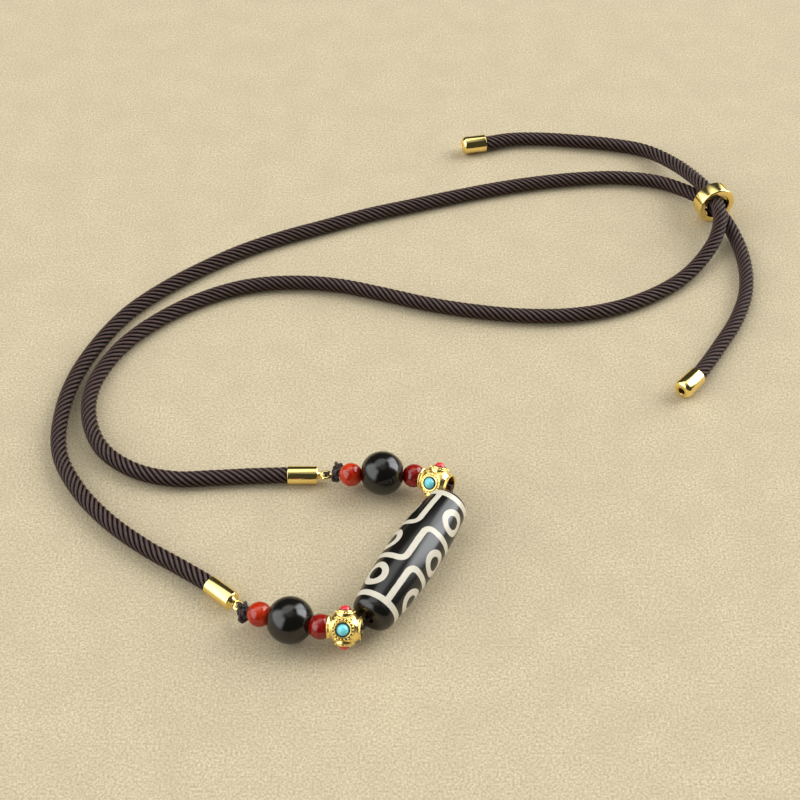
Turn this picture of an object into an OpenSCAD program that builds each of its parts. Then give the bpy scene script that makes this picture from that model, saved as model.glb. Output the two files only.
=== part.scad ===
// Sliding-cord necklace with a nine-eye agate barrel bead, lying open on a flat surface.
// X runs to the right, Y away from the viewer and Z up, and the surface is Z = 0.
// "near" pieces are strung below the barrel bead and "far" pieces above it.

/* [Barrel bead] */
// Length of the barrel bead
barrel_len = 37; // [36:0.5:37.5]
// Diameter at its middle
barrel_d = 12; // [11.6:0.1:12.4]
// Diameter at its ends
barrel_end_d = 8.9; // [8.2:0.1:9.4]
// Rounding of its end edges
barrel_edge_r = 2.2; // [1.8:0.1:2.4]

/* [Round beads] */
// Diameter of a black bead
black_d = 10.3; // [9.9:0.1:10.5]
// Rim diameter of the hollow round each mouth of its hole, where a red bead's end sits
seat_d = 3.7; // [3.6:0.05:3.8]
// Diameter of a red bead
red_d = 5.5; // [5.2:0.1:5.5]
// Length of a red bead between its flats
red_len = 5; // [4.6:0.1:5]
// Diameter of the hole through the beads
bead_bore_d = 1.8; // [1.75:0.05:1.85]

/* [Gold beads] */
// Length of a gold bead over its two collars
gold_len = 7.3; // [7.2:0.1:7.4]
// Outer diameter of a collar
collar_d = 5.4; // [5.2:0.1:5.6]
// Diameter of the flared mouth of a collar
mouth_d = 5; // [4.9:0.05:5.1]
// Depth of the flare
mouth_depth = 1.2; // [1.1:0.05:1.4]
// Diameter of the body between the collars
gold_body_d = 6.9; // [6.8:0.1:7]
// Diameter of a medallion
medallion_d = 4.7; // [4.65:0.05:4.9]
// Height of a medallion's face above the bead's axis
medallion_h = 3.5; // [3.45:0.05:3.6]
// Diameter of a set stone
stone_d = 2.7; // [2.5:0.05:2.7]
// Height of a stone's top above the bead's axis
stone_top = 4.75; // [4.6:0.05:4.8]
// Number of grains round a medallion
grain_count = 18; // [14:1:20]

/* [Cord] */
// Diameter of the twisted cord
cord_d = 3.85; // [3.7:0.05:3.9]
// Diameter of the bead thread
thread_d = 0.8; // [0.7:0.05:0.85]

/* [Cord ends] */
// Outer diameter of a ferrule
ferrule_d = 4.35; // [4.3:0.05:4.4]
// Length of a ferrule's tube
ferrule_len = 7.1; // [6.8:0.1:7.2]
// Outer diameter of an end tip
tip_d = 5; // [4.8:0.1:5]
// Length of an end tip
tip_len = 6.8; // [6.4:0.1:7.2]
// Length of cord held inside a ferrule or tip
grip_len = 5; // [4:0.1:5.2]

/* [Slider ring] */
// Outer diameter of the ring
ring_d = 10.7; // [10.4:0.1:10.8]
// Diameter of the hole that both cords share
ring_bore_d = 6.9; // [6.85:0.05:7.2]
// Width of the ring along its hole
ring_w = 4.2; // [3.8:0.1:4.4]
// Bevel of the ring's edges
ring_bevel = 0.45; // [0.2:0.05:0.6]

/* [Hidden] */
$fn = 64;

gold = "goldenrod";
red_agate = "firebrick";
cord_brown = [0.16, 0.12, 0.12];

// Round parts are turned about X, and this is the smallest clearance between two pieces
gap = 0.05;
cut = 0.1;

// Places of pieces that stand by themselves: x, y, z, then the heading and rise of their axis
barrel_at = [-22.05, -51.7, barrel_d / 2, 60.5, 0];
near_gold_at = [-36.2, -69.9, 6.1, -3.7, 1.7];
far_gold_at = [-16.1, -29.7, 5.4, -28, 9];
near_ferrule_at = [-66.4, -56.1, 2.2, -39.5, 0];
far_ferrule_at = [-50.8, -24.9, 2.2, 0, 0];
near_tip_at = [49.5, 6.7, tip_d / 2, 228, 0];
far_tip_at = [0.4, 100.9, tip_d / 2, 191, 0];
ring_at = [62.55, 70.7, ring_d / 2, -71, 0];

// Centres of the pieces between them, each of which lines up with its neighbours
near_knot = [-58.35, -64.2, 3.4];
near_red_out = [-54.65, -65.4, 4.4];
near_black = [-47.95, -67.4, black_d / 2];
near_red_in = along(near_gold_at, -5.13);
far_knot = [-39.3, -25, 3.4];
far_red_out = [-35.9, -26.7, 4.55];
far_black = [-28.6, -26.75, black_d / 2];
far_red_in = along(far_gold_at, -5.9);

near_red_out_at = facing(near_red_out, near_knot, near_black);
near_knot_at = facing(near_knot, near_knot, along(near_red_out_at, -red_len / 2));
near_black_at = facing(near_black, near_red_out, near_red_in);
near_red_in_at = facing(near_red_in, near_black, centre_of(near_gold_at));
far_red_out_at = facing(far_red_out, far_knot, far_black);
far_knot_at = facing(far_knot, far_knot, along(far_red_out_at, -red_len / 2));
far_black_at = facing(far_black, far_red_out, far_red_in);
far_red_in_at = facing(far_red_in, far_black, centre_of(far_gold_at));

// Turquoise faces the viewer at these heights above the surface, in degrees
near_face = 48;
far_face = 42;

// Depth and floor of a black bead's hollows, and its length from rim to rim
seat_depth = 0.5;
seat_floor_r = 1;
black_len = sqrt(black_d ^ 2 - seat_d ^ 2);

// Ferrule eye: a wire ring whose hole stands upright, then the knot's core and two lobes,
// and how near the eye's loop of thread comes to the knot
eye_at = 8.8;
eye_r = 1;
eye_wire_d = 0.8;
knot_core_d = 2.4;
knot_lobe_d = 2.4;
knot_reach = 1.3;
knot_lie = [0.15, 1, 1];
knot_bore_d = 1.3;
leg_gap = 0.7;
leg_min = 0.1;
barrel_bore_d = 2;

// Centre line of the outer cord, from the near ferrule round to the ring and the near tip
cord_z = cord_d / 2;
outer_route = [
    [-62.55, -59.27, 2.2], [-66.4, -56.1, 2.2], [-73, -51.5, 2], [-81.5, -46, cord_z],
    [-91.5, -38, cord_z], [-99.5, -29, cord_z], [-105.5, -18, cord_z], [-107, -5.5, cord_z],
    [-105.5, 7, cord_z], [-101.5, 18.5, cord_z], [-95.5, 29.5, cord_z], [-87, 39, cord_z],
    [-77.5, 47, cord_z], [-67.5, 54, cord_z], [-56.5, 59.7, cord_z], [-44.7, 64.6, cord_z],
    [-33, 69.4, cord_z], [-21.3, 73.2, cord_z], [-9.5, 77, cord_z], [2.5, 80.5, cord_z],
    [14.7, 83.3, cord_z], [27, 85.1, cord_z], [39, 85.5, cord_z], [50, 83.2, 2],
    [56, 79.2, 2.5], [60.2, 75.2, 3.1], [62.33, 72.78, 3.72], [63.61, 68.9, 3.72],
    [65.4, 65.4, 3.1], [67.2, 60, 2.3], [68.3, 49.5, cord_z], [66.6, 37, cord_z],
    [62.9, 27.8, cord_z], [56.4, 17, cord_z], [52.4, 10.8, 2.2], [49.5, 6.7, 2.5],
    [46.15, 2.98, 2.5]];

// Centre line of the inner cord, from the far ferrule round to the ring and the far tip
inner_route = [
    [-45.8, -24.9, 2.2], [-50.8, -24.9, 2.2], [-57.8, -24.9, cord_z], [-67.8, -25.5, cord_z],
    [-77.8, -25.8, cord_z], [-87.3, -23.1, cord_z], [-95.2, -17, cord_z], [-99.7, -8.2, cord_z],
    [-100.9, 1.6, cord_z], [-98.5, 11.3, cord_z], [-93.7, 20, cord_z], [-87, 27.4, cord_z],
    [-77, 35, cord_z], [-65.7, 40, cord_z], [-53.3, 41.6, cord_z], [-41, 40.5, cord_z],
    [-29, 37.1, cord_z], [-17, 33.3, cord_z], [-4.8, 30.6, cord_z], [7.6, 29, cord_z],
    [20, 29.2, cord_z], [32.3, 32, cord_z], [43.4, 37.5, cord_z], [51.8, 44, 2.2],
    [57.8, 51, 3.3], [61.4, 56.8, 4.9], [63, 63, 6.7], [62.77, 68.6, 6.98],
    [61.49, 72.48, 6.98], [59.8, 76.2, 7], [57.6, 82.2, 5.7], [54.4, 89, 4],
    [46.5, 98, 2.1], [37, 101, cord_z], [27, 102.6, cord_z], [17, 103.6, cord_z],
    [7.5, 103.1, 2.1], [0.4, 100.9, 2.5], [-4.51, 99.95, 2.5]];

// Spacing of the cord's cross-sections, and how far the ring squeezes it
cord_step = 8;
squeeze_half = [2, 1.6];
squeeze_from = 3;
squeeze_to = 6;

// Unit vector along a place's axis
function axis_of(p) = [cos(p[4]) * cos(p[3]), cos(p[4]) * sin(p[3]), sin(p[4])];
function centre_of(p) = [p[0], p[1], p[2]];
function along(p, s) = centre_of(p) + s * axis_of(p);
function unit(v) = v / norm(v);

// A place at c whose axis runs from one neighbour to the other
function facing(c, from, to) =
    let (v = to - from) [c[0], c[1], c[2], atan2(v[1], v[0]), asin(v[2] / norm(v))];

// A smooth curve through the points of a route, with its slope at each point
function span(p, i) = norm(p[i + 1] - p[i]);
function slope(p, i) =
    i == 0 ? (p[1] - p[0]) / span(p, 0)
    : i == len(p) - 1 ? (p[i] - p[i - 1]) / span(p, i - 1)
    : let (a = span(p, i - 1), b = span(p, i))
      ((p[i + 1] - p[i]) * a / b + (p[i] - p[i - 1]) * b / a) / (a + b);
function on_curve(p, i, t) =
    let (d = span(p, i))
    (2 * t ^ 3 - 3 * t ^ 2 + 1) * p[i] + (t ^ 3 - 2 * t ^ 2 + t) * d * slope(p, i)
    + (3 * t ^ 2 - 2 * t ^ 3) * p[i + 1] + (t ^ 3 - t ^ 2) * d * slope(p, i + 1);
function curve(p, step) =
    [for (i = [0 : len(p) - 2])
        let (n = max(1, round(span(p, i) / step)))
        for (k = [0 : n - 1]) on_curve(p, i, k / n),
     p[len(p) - 1]];

// Direction of a path at a point, and a section of eight points across it there, with
// half width w beside the direction that up gives and half height h along it
function step_of(p, i) = unit(p[i + 1] - p[i]);
function heading(p, i) =
    i == 0 ? step_of(p, 0)
    : i == len(p) - 1 ? step_of(p, i - 1)
    : unit(step_of(p, i - 1) + step_of(p, i));
function section(c, t, up, w, h) =
    let (side = unit(cross(t, up)), over = cross(side, t))
    [for (a = [90 : 45 : 405]) c + w * cos(a) * side + h * sin(a) * over];

// A closed tube swept along a path; half[i] is its half width and half height there
module tube(path, half, up = [0, 0, 1]) {
    n = len(path);
    points = [for (i = [0 : n - 1])
        each section(path[i], heading(path, i), up, half[i][0], half[i][1])];
    sides = [for (i = [0 : n - 2], k = [0 : 7])
        [8 * i + k, 8 * i + (k + 1) % 8, 8 * i + 8 + (k + 1) % 8, 8 * i + 8 + k]];
    first = [[for (k = [7 : -1 : 0]) k]];
    last = [[for (k = [0 : 7]) 8 * (n - 1) + k]];
    polyhedron(points = points, faces = concat(first, sides, last));
}

// Half width and half height of the cord, less where the ring holds it
function squeeze(c) =
    let (d = norm(c - centre_of(ring_at)),
         k = max(0, min(1, (squeeze_to - d) / (squeeze_to - squeeze_from))))
    [cord_d / 2, cord_d / 2] * (1 - k) + squeeze_half * k;

// The cord never dips below the surface that it lies on
module cord(route) {
    path = [for (c = curve(route, cord_step)) [c[0], c[1], max(c[2], cord_z)]];
    tube(path, [for (c = path) squeeze(c)]);
}

// Moves a piece turned about X to its place
module at(p) translate(centre_of(p)) rotate([0, -p[4], p[3]]) children();

// Turns the profile drawn beside the Y axis about X
module turned() rotate([0, 90, 0]) rotate_extrude() children();

module hole(d, len) rotate([0, 90, 0]) cylinder(h = len + 2 * cut, d = d, center = true);

// Half profile of a barrel: one long arc, with rounded edges that meet it smoothly
module barrel_profile() {
    half = barrel_len / 2;
    bulge = (barrel_d - barrel_end_d) / 2;
    arc_r = (half ^ 2 + bulge ^ 2) / (2 * bulge);
    arc_x = barrel_d / 2 - arc_r;
    edge_y = half - barrel_edge_r;
    edge_x = arc_x + sqrt((arc_r - barrel_edge_r) ^ 2 - edge_y ^ 2);
    lean = asin(edge_y / (arc_r - barrel_edge_r));
    join = arc_r * sin(lean);
    intersection() {
        translate([arc_x, 0]) circle(r = arc_r, $fn = 720);
        translate([0, -join]) square([barrel_d, 2 * join]);
    }
    for (s = [-1, 1]) translate([edge_x, s * edge_y]) circle(r = barrel_edge_r);
    translate([0, -half]) square([edge_x, 2 * half]);
}

module barrel_bead() color("black") at(barrel_at) difference() {
    turned() intersection() {
        barrel_profile();
        translate([0, -barrel_len]) square([barrel_d, 2 * barrel_len]);
    }
    hole(barrel_bore_d, barrel_len);
}

// A round bead with a flat round each mouth of its hole
module round_bead(p, d, len) at(p) turned() intersection() {
    circle(d = d);
    translate([bead_bore_d / 2, -len / 2]) square([d, len]);
}

// A round bead with a shallow hollow round each mouth, in which its neighbour's end sits
module black_bead(p) color([0.08, 0.08, 0.08]) at(p) turned() difference() {
    rim_x = black_len / 2;
    intersection() {
        circle(d = black_d);
        translate([bead_bore_d / 2, -black_d / 2]) square([black_d, black_d]);
    }
    for (s = [-1, 1])
        polygon([[0, s * (rim_x - seat_depth)], [seat_floor_r, s * (rim_x - seat_depth)],
                 [seat_d - seat_floor_r, s * (rim_x + seat_depth)],
                 [0, s * (rim_x + seat_depth)]]);
}

module red_bead(p) color(red_agate) round_bead(p, red_d, red_len);

// Turns a piece that points up so that it points out of the bead's side; face 0 is the front
module on_side(elevation, face) rotate([90 - elevation + 90 * face, 0, 0]) children();

throat_d = 3.4;
bezel_d = stone_d + 0.75;
bezel_h = medallion_h + 0.3;
socket_d = stone_d + 2 * gap;
socket_h = medallion_h - 0.3;
root_h = 2.7;
grain_d = 0.5;
grain_inset = 0.1;

// A disc soldered to the body, the rim that holds a stone, and a ring of grains
module medallion() {
    translate([0, 0, root_h]) cylinder(h = medallion_h - root_h, d = medallion_d);
    translate([0, 0, root_h]) cylinder(h = bezel_h - root_h, d = bezel_d);
    for (a = [0 : 360 / grain_count : 359])
        rotate([0, 0, a]) translate([(medallion_d - grain_d) / 2 - grain_inset, 0, medallion_h])
            sphere(d = grain_d, $fn = 24);
}

// Body between the collars, collars with a raised lip, and the hole that flares at both ends
module gold_core() difference() {
    turned() {
        half = gold_len / 2;
        lip = 0.25;
        lip_r = collar_d / 2;
        groove = 0.65;
        shoulder = 1;
        shoulder_r = gold_body_d / 2 - 0.5;
        belt = 1.4;
        belt_r = gold_body_d / 2;
        polygon([[0, -half], [lip_r - 0.1, -half], [lip_r, lip - half],
                 [lip_r - 0.15, groove - half], [shoulder_r, shoulder - half],
                 [belt_r, -belt], [belt_r, belt],
                 [shoulder_r, half - shoulder], [lip_r - 0.15, half - groove],
                 [lip_r, half - lip], [lip_r - 0.1, half], [0, half]]);
    }
    hole(bead_bore_d, gold_len);
    for (s = [-1, 1]) rotate([0, 90 * s, 0])
        translate([0, 0, gold_len / 2 - mouth_depth])
            cylinder(h = mouth_depth + 0.001, d1 = throat_d, d2 = mouth_d);
}

module gold_bead(p, elevation) color(gold) at(p) difference() {
    union() {
        gold_core();
        for (face = [0 : 3]) on_side(elevation, face) medallion();
    }
    for (face = [0 : 3]) on_side(elevation, face)
        translate([0, 0, socket_h]) cylinder(h = 2, d = socket_d);
}

// A domed stone in its socket
module stone(p, elevation, face) at(p) on_side(elevation, face) {
    dome_h = 0.75;
    dome_r = ((stone_d / 2) ^ 2 + dome_h ^ 2) / (2 * dome_h);
    intersection() {
        translate([0, 0, stone_top - dome_r]) sphere(r = dome_r);
        translate([0, 0, socket_h + gap]) cylinder(h = 3, d = stone_d);
    }
}

module turquoise(p, elevation, face) color("turquoise") stone(p, elevation, face);
module coral(p, elevation, face) color("crimson") stone(p, elevation, face);

// Tube that grips the cord, with a bevelled nose, a neck and an upright eye
module ferrule(p) color(gold) at(p) {
    bore_d = cord_d + 2 * gap;
    nose = 0.5;
    neck_d = 1.8;
    difference() {
        union() {
            turned() polygon([[0, 0], [ferrule_d / 2, 0], [ferrule_d / 2, ferrule_len - nose],
                              [ferrule_d / 2 - nose, ferrule_len], [0, ferrule_len]]);
            translate([ferrule_len - 1, 0, 0]) rotate([0, 90, 0])
                cylinder(h = eye_at - eye_r - ferrule_len + 1, d = neck_d);
        }
        translate([grip_len / 2, 0, 0]) hole(bore_d, grip_len + 2 * gap - cut);
    }
    translate([eye_at, 0, 0]) rotate_extrude() translate([eye_r, 0]) circle(d = eye_wire_d);
}

// Tied thread: a core with a lobe above and behind and another below and in front
module knot(p) color(cord_brown) difference() {
    union() {
        at(p) sphere(d = knot_core_d);
        for (s = [-1, 1]) translate(centre_of(p) + s * knot_reach * unit(knot_lie))
            sphere(d = knot_lobe_d);
    }
    at(p) translate([1, 0, 0]) hole(knot_bore_d, 3);
}

// The thread runs straight through each bead and bends where one bead's hole meets the next
function between(p, len_p, q, len_q) = (along(p, len_p / 2) + along(q, -len_q / 2)) / 2;
function backwards(v) = [for (i = [len(v) - 1 : -1 : 0]) v[i]];
function strand(knot_p, red_out_p, black_p, red_in_p, gold_p) = [
    along(knot_p, -0.2),
    between(knot_p, knot_core_d, red_out_p, red_len),
    between(red_out_p, red_len, black_p, black_len),
    between(black_p, black_len, red_in_p, red_len),
    between(red_in_p, red_len, gold_p, gold_len - 2 * mouth_depth),
    along(gold_p, gold_len / 2 - mouth_depth),
    along(gold_p, gold_len / 2 + 0.3)];
thread_run = concat(
    strand(near_knot_at, near_red_out_at, near_black_at, near_red_in_at, near_gold_at),
    [along(barrel_at, -barrel_len / 2), along(barrel_at, barrel_len / 2)],
    backwards(strand(far_knot_at, far_red_out_at, far_black_at, far_red_in_at, far_gold_at)));

// Loop of thread from beside the knot, round the outer wire of the ferrule's eye and back
function eye_loop(ferrule_p, knot_p) =
    let (wire = along(ferrule_p, eye_at + eye_r), up = [0, 0, 1],
         r = (eye_wire_d + thread_d) / 2 + 2 * gap,
         way = [knot_p[0] - wire[0], knot_p[1] - wire[1], 0],
         leg = max(leg_min, norm(way) - knot_core_d / 2 - leg_gap) * unit(way))
    concat([wire + r * up + leg],
           [for (a = [0 : 30 : 180]) wire + r * (cos(a) * up - sin(a) * axis_of(ferrule_p))],
           [wire - r * up + leg]);

module thread_tube(path, up = [0, 0, 1])
    tube(path, [for (c = path) [thread_d, thread_d] / 2], up);

module thread() color(cord_brown) {
    thread_tube(thread_run);
    thread_tube(eye_loop(near_ferrule_at, near_knot_at), cross([0, 0, 1], axis_of(near_ferrule_at)));
    thread_tube(eye_loop(far_ferrule_at, far_knot_at), cross([0, 0, 1], axis_of(far_ferrule_at)));
}

// Cap on a cord's free end, with a rounded nose and a small hole through it
module end_tip(p) color(gold) at(p) {
    nose_r = 1.2;
    end_hole_d = 1.8;
    difference() {
        turned() {
            square([tip_d / 2, tip_len - nose_r]);
            square([tip_d / 2 - nose_r, tip_len]);
            translate([tip_d / 2 - nose_r, tip_len - nose_r]) circle(r = nose_r);
        }
        translate([grip_len / 2, 0, 0]) hole(cord_d + 2 * gap, grip_len + 2 * gap - cut);
        translate([tip_len, 0, 0]) hole(end_hole_d, 4);
    }
}

module slider_ring() color(gold) at(ring_at) {
    inner = ring_bore_d / 2;
    outer = ring_d / 2;
    half = ring_w / 2;
    turned() polygon([[inner, half - ring_bevel], [inner, ring_bevel - half],
                      [inner + ring_bevel, -half], [outer - ring_bevel, -half],
                      [outer, ring_bevel - half], [outer, half - ring_bevel],
                      [outer - ring_bevel, half], [inner + ring_bevel, half]]);
}

module cord_outer() color(cord_brown) cord(outer_route);
module cord_inner() color(cord_brown) cord(inner_route);

barrel_bead();
black_bead(near_black_at);  // black_bead_near
black_bead(far_black_at);  // black_bead_far
red_bead(near_red_out_at);  // red_bead_near_outer
red_bead(near_red_in_at);  // red_bead_near_inner
red_bead(far_red_out_at);  // red_bead_far_outer
red_bead(far_red_in_at);  // red_bead_far_inner
gold_bead(near_gold_at, near_face);  // gold_bead_near
gold_bead(far_gold_at, far_face);  // gold_bead_far
turquoise(near_gold_at, near_face, 0);  // turquoise_near_front
turquoise(near_gold_at, near_face, 2);  // turquoise_near_back
coral(near_gold_at, near_face, 3);  // coral_near_top
coral(near_gold_at, near_face, 1);  // coral_near_bottom
turquoise(far_gold_at, far_face, 0);  // turquoise_far_front
turquoise(far_gold_at, far_face, 2);  // turquoise_far_back
coral(far_gold_at, far_face, 3);  // coral_far_top
coral(far_gold_at, far_face, 1);  // coral_far_bottom
ferrule(near_ferrule_at);  // ferrule_near
ferrule(far_ferrule_at);  // ferrule_far
knot(near_knot_at);  // knot_near
knot(far_knot_at);  // knot_far
thread();
cord_outer();
cord_inner();
end_tip(near_tip_at);  // end_tip_near
end_tip(far_tip_at);  // end_tip_far
slider_ring();
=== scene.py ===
"""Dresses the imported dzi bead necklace: camera, cords, beads, metal, floor and light."""
import math

import bmesh
import bpy
import numpy as np
from mathutils import Matrix, Vector


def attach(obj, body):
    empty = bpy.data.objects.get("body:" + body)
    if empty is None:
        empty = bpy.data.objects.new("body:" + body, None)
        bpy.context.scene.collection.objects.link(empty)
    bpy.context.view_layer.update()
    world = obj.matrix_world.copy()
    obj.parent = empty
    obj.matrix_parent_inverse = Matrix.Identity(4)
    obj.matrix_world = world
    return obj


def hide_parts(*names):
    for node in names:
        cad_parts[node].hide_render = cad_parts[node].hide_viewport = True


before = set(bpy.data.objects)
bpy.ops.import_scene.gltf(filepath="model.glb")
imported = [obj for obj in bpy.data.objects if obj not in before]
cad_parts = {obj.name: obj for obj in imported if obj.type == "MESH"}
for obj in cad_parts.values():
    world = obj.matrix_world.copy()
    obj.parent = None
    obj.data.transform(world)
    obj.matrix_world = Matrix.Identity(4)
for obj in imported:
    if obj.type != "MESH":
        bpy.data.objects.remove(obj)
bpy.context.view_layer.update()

MM = 0.001

# Sizes that the construction sets, in millimetres
BARREL_LEN = 37
BARREL_D = 12
BARREL_END_D = 8.9
BARREL_EDGE_R = 2.2
BARREL_BORE_R = 1
BLACK_R = 5.15
BLACK_SEAT_R = 1.85
BLACK_SEAT_DEPTH = 0.5
BLACK_SEAT_FLOOR_R = 1
BLACK_RIM_X = math.sqrt(BLACK_R ** 2 - BLACK_SEAT_R ** 2)
RED_R = 2.75
RED_FLAT_X = 2.5
BEAD_BORE_R = 0.9
BORE_CHAMFER = 0.1
GOLD_HALF = 3.65
MOUTH_DEPTH = 1.2
CORD_D = 3.85
CORD_Z = CORD_D / 2
GRIP_BORE_R = 1.975
GRIP_DEPTH = 5.05
THREAD_R = 0.4
FERRULE_R = 2.175
FERRULE_LEN = 7.1
EYE_AT = 8.8
EYE_R = 1
EYE_WIRE_R = 0.4
TIP_R = 2.5
TIP_LEN = 6.8
TIP_NOSE_R = 1.2
TIP_HOLE_R = 0.9
RING_R = 5.35
RING_BORE_R = 3.45
RING_HALF = 2.1
RING_EDGE = 0.45
KNOT_CORE_R = 1.2
KNOT_REACH = 1.3
KNOT_LIE = {"near": Vector((0.1, 1, 1)).normalized(), "far": Vector((0.3, 1, 1)).normalized()}

# Places of pieces in millimetres: x, y, z, then the heading and rise of their axis in degrees
BARREL_AT = (-22.05, -51.7, 6, 60.5, 0)
NEAR_GOLD_AT = (-36.2, -69.9, 6.1, -3.7, 1.7)
FAR_GOLD_AT = (-16.1, -29.7, 5.4, -28, 9)
NEAR_FERRULE_AT = (-66.4, -56.1, 2.2, -39.5, 0)
FAR_FERRULE_AT = (-50.8, -24.9, 2.2, 0, 0)
NEAR_TIP_AT = (49.5, 6.7, 2.5, 228, 0)
FAR_TIP_AT = (0.4, 100.9, 2.5, 191, 0)
RING_AT = (62.55, 70.7, 5.35, -71, 0)
NEAR_FACE = 48
FAR_FACE = 42

# Centre lines of the two cords
OUTER_ROUTE = [
    (-62.55, -59.27, 2.2), (-66.4, -56.1, 2.2), (-73, -51.5, 2), (-81.5, -46, CORD_Z),
    (-91.5, -38, CORD_Z), (-99.5, -29, CORD_Z), (-105.5, -18, CORD_Z), (-107, -5.5, CORD_Z),
    (-105.5, 7, CORD_Z), (-101.5, 18.5, CORD_Z), (-95.5, 29.5, CORD_Z), (-87, 39, CORD_Z),
    (-77.5, 47, CORD_Z), (-67.5, 54, CORD_Z), (-56.5, 59.7, CORD_Z), (-44.7, 64.6, CORD_Z),
    (-33, 69.4, CORD_Z), (-21.3, 73.2, CORD_Z), (-9.5, 77, CORD_Z), (2.5, 80.5, CORD_Z),
    (14.7, 83.3, CORD_Z), (27, 85.1, CORD_Z), (39, 85.5, CORD_Z), (50, 83.2, 2),
    (56, 79.2, 2.5), (60.2, 75.2, 3.1), (62.33, 72.78, 3.72), (63.61, 68.9, 3.72),
    (65.4, 65.4, 3.1), (67.2, 60, 2.3), (68.3, 49.5, CORD_Z), (66.6, 37, CORD_Z),
    (62.9, 27.8, CORD_Z), (56.4, 17, CORD_Z), (52.4, 10.8, 2.2), (49.5, 6.7, 2.5),
    (46.15, 2.98, 2.5)]

INNER_ROUTE = [
    (-45.8, -24.9, 2.2), (-50.8, -24.9, 2.2), (-57.8, -24.9, CORD_Z), (-67.8, -25.5, CORD_Z),
    (-77.8, -25.8, CORD_Z), (-87.3, -23.1, CORD_Z), (-95.2, -17, CORD_Z), (-99.7, -8.2, CORD_Z),
    (-100.9, 1.6, CORD_Z), (-98.5, 11.3, CORD_Z), (-93.7, 20, CORD_Z), (-87, 27.4, CORD_Z),
    (-77, 35, CORD_Z), (-65.7, 40, CORD_Z), (-53.3, 41.6, CORD_Z), (-41, 40.5, CORD_Z),
    (-29, 37.1, CORD_Z), (-17, 33.3, CORD_Z), (-4.8, 30.6, CORD_Z), (7.6, 29, CORD_Z),
    (20, 29.2, CORD_Z), (32.3, 32, CORD_Z), (43.4, 37.5, CORD_Z), (51.8, 44, 2.2),
    (57.8, 51, 3.3), (61.4, 56.8, 4.9), (63, 63, 6.7), (62.77, 68.6, 6.98),
    (61.49, 72.48, 6.98), (59.8, 76.2, 7), (57.6, 82.2, 5.7), (54.4, 89, 4),
    (46.5, 98, 2.1), (37, 101, CORD_Z), (27, 102.6, CORD_Z), (17, 103.6, CORD_Z),
    (7.5, 103.1, 2.1), (0.4, 100.9, 2.5), (-4.51, 99.95, 2.5)]

# Half width and half height of the cord inside the ring, and where the squeeze fades out
SQUEEZE_HALF = (2, 1.6)
SQUEEZE_FROM = 3
SQUEEZE_TO = 6


# Places and directions

def axis_of(place):
    """Unit direction of a place's axis."""
    heading, rise = math.radians(place[3]), math.radians(place[4])
    return Vector((math.cos(rise) * math.cos(heading), math.cos(rise) * math.sin(heading),
                   math.sin(rise)))


def centre_of(place):
    return Vector(place[:3])


def along(place, distance):
    """The point on a place's axis at a distance from its centre."""
    return centre_of(place) + distance * axis_of(place)


def facing(centre, start, end):
    """A place at centre whose axis runs from one neighbour to the other."""
    way = end - start
    return (centre[0], centre[1], centre[2], math.degrees(math.atan2(way.y, way.x)),
            math.degrees(math.asin(way.z / way.length)))


def placed(place):
    """Matrix, in metres, that turns a piece lying along X to its place."""
    turn = Matrix.Rotation(math.radians(place[3]), 4, "Z")
    turn = turn @ Matrix.Rotation(math.radians(-place[4]), 4, "Y")
    return Matrix.Translation(centre_of(place) * MM) @ turn @ Matrix.Scale(MM, 4)


IN_METRES = Matrix.Scale(MM, 4)
UPRIGHT = Matrix.Rotation(math.radians(-90), 4, "Y")

# Places of the pieces between, each of which lines up with its neighbours
NEAR_KNOT = Vector((-58.35, -64.2, 3.4))
NEAR_RED_OUT = Vector((-54.65, -65.4, 4.4))
NEAR_BLACK = Vector((-47.95, -67.4, BLACK_R))
NEAR_RED_IN = along(NEAR_GOLD_AT, -5.13)
FAR_KNOT = Vector((-39.3, -25, 3.4))
FAR_RED_OUT = Vector((-35.9, -26.7, 4.55))
FAR_BLACK = Vector((-28.6, -26.75, BLACK_R))
FAR_RED_IN = along(FAR_GOLD_AT, -5.9)

NEAR_RED_OUT_AT = facing(NEAR_RED_OUT, NEAR_KNOT, NEAR_BLACK)
NEAR_KNOT_AT = facing(NEAR_KNOT, NEAR_KNOT, along(NEAR_RED_OUT_AT, -RED_FLAT_X))
NEAR_BLACK_AT = facing(NEAR_BLACK, NEAR_RED_OUT, NEAR_RED_IN)
NEAR_RED_IN_AT = facing(NEAR_RED_IN, NEAR_BLACK, centre_of(NEAR_GOLD_AT))
FAR_RED_OUT_AT = facing(FAR_RED_OUT, FAR_KNOT, FAR_BLACK)
FAR_KNOT_AT = facing(FAR_KNOT, FAR_KNOT, along(FAR_RED_OUT_AT, -RED_FLAT_X))
FAR_BLACK_AT = facing(FAR_BLACK, FAR_RED_OUT, FAR_RED_IN)
FAR_RED_IN_AT = facing(FAR_RED_IN, FAR_BLACK, centre_of(FAR_GOLD_AT))


# Shapes, in millimetres until they are placed

class Shape:
    """Points and faces, with one number at each point for the material to read."""

    def __init__(self, points, faces, marks=None):
        self.points = points
        self.faces = faces
        self.marks = marks if marks is not None else [0.0] * len(points)

    def moved(self, matrix):
        return Shape([matrix @ Vector(p) for p in self.points], self.faces, self.marks)


def joined(shapes):
    points, faces, marks = [], [], []
    for shape in shapes:
        start = len(points)
        points.extend(shape.points)
        marks.extend(shape.marks)
        faces.extend(tuple(start + i for i in face) for face in shape.faces)
    return Shape(points, faces, marks)


def grid_faces(rings, sides, closed=False):
    """Quads between neighbouring rings of points, and caps unless the rings close on themselves."""
    faces = []
    for i in range(rings if closed else rings - 1):
        a, b = i * sides, (i + 1) % rings * sides
        for k in range(sides):
            j = (k + 1) % sides
            faces.append((a + k, a + j, b + j, b + k))
    if not closed:
        faces.append(tuple(range(sides - 1, -1, -1)))
        faces.append(tuple(range((rings - 1) * sides, rings * sides)))
    return faces


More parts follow.
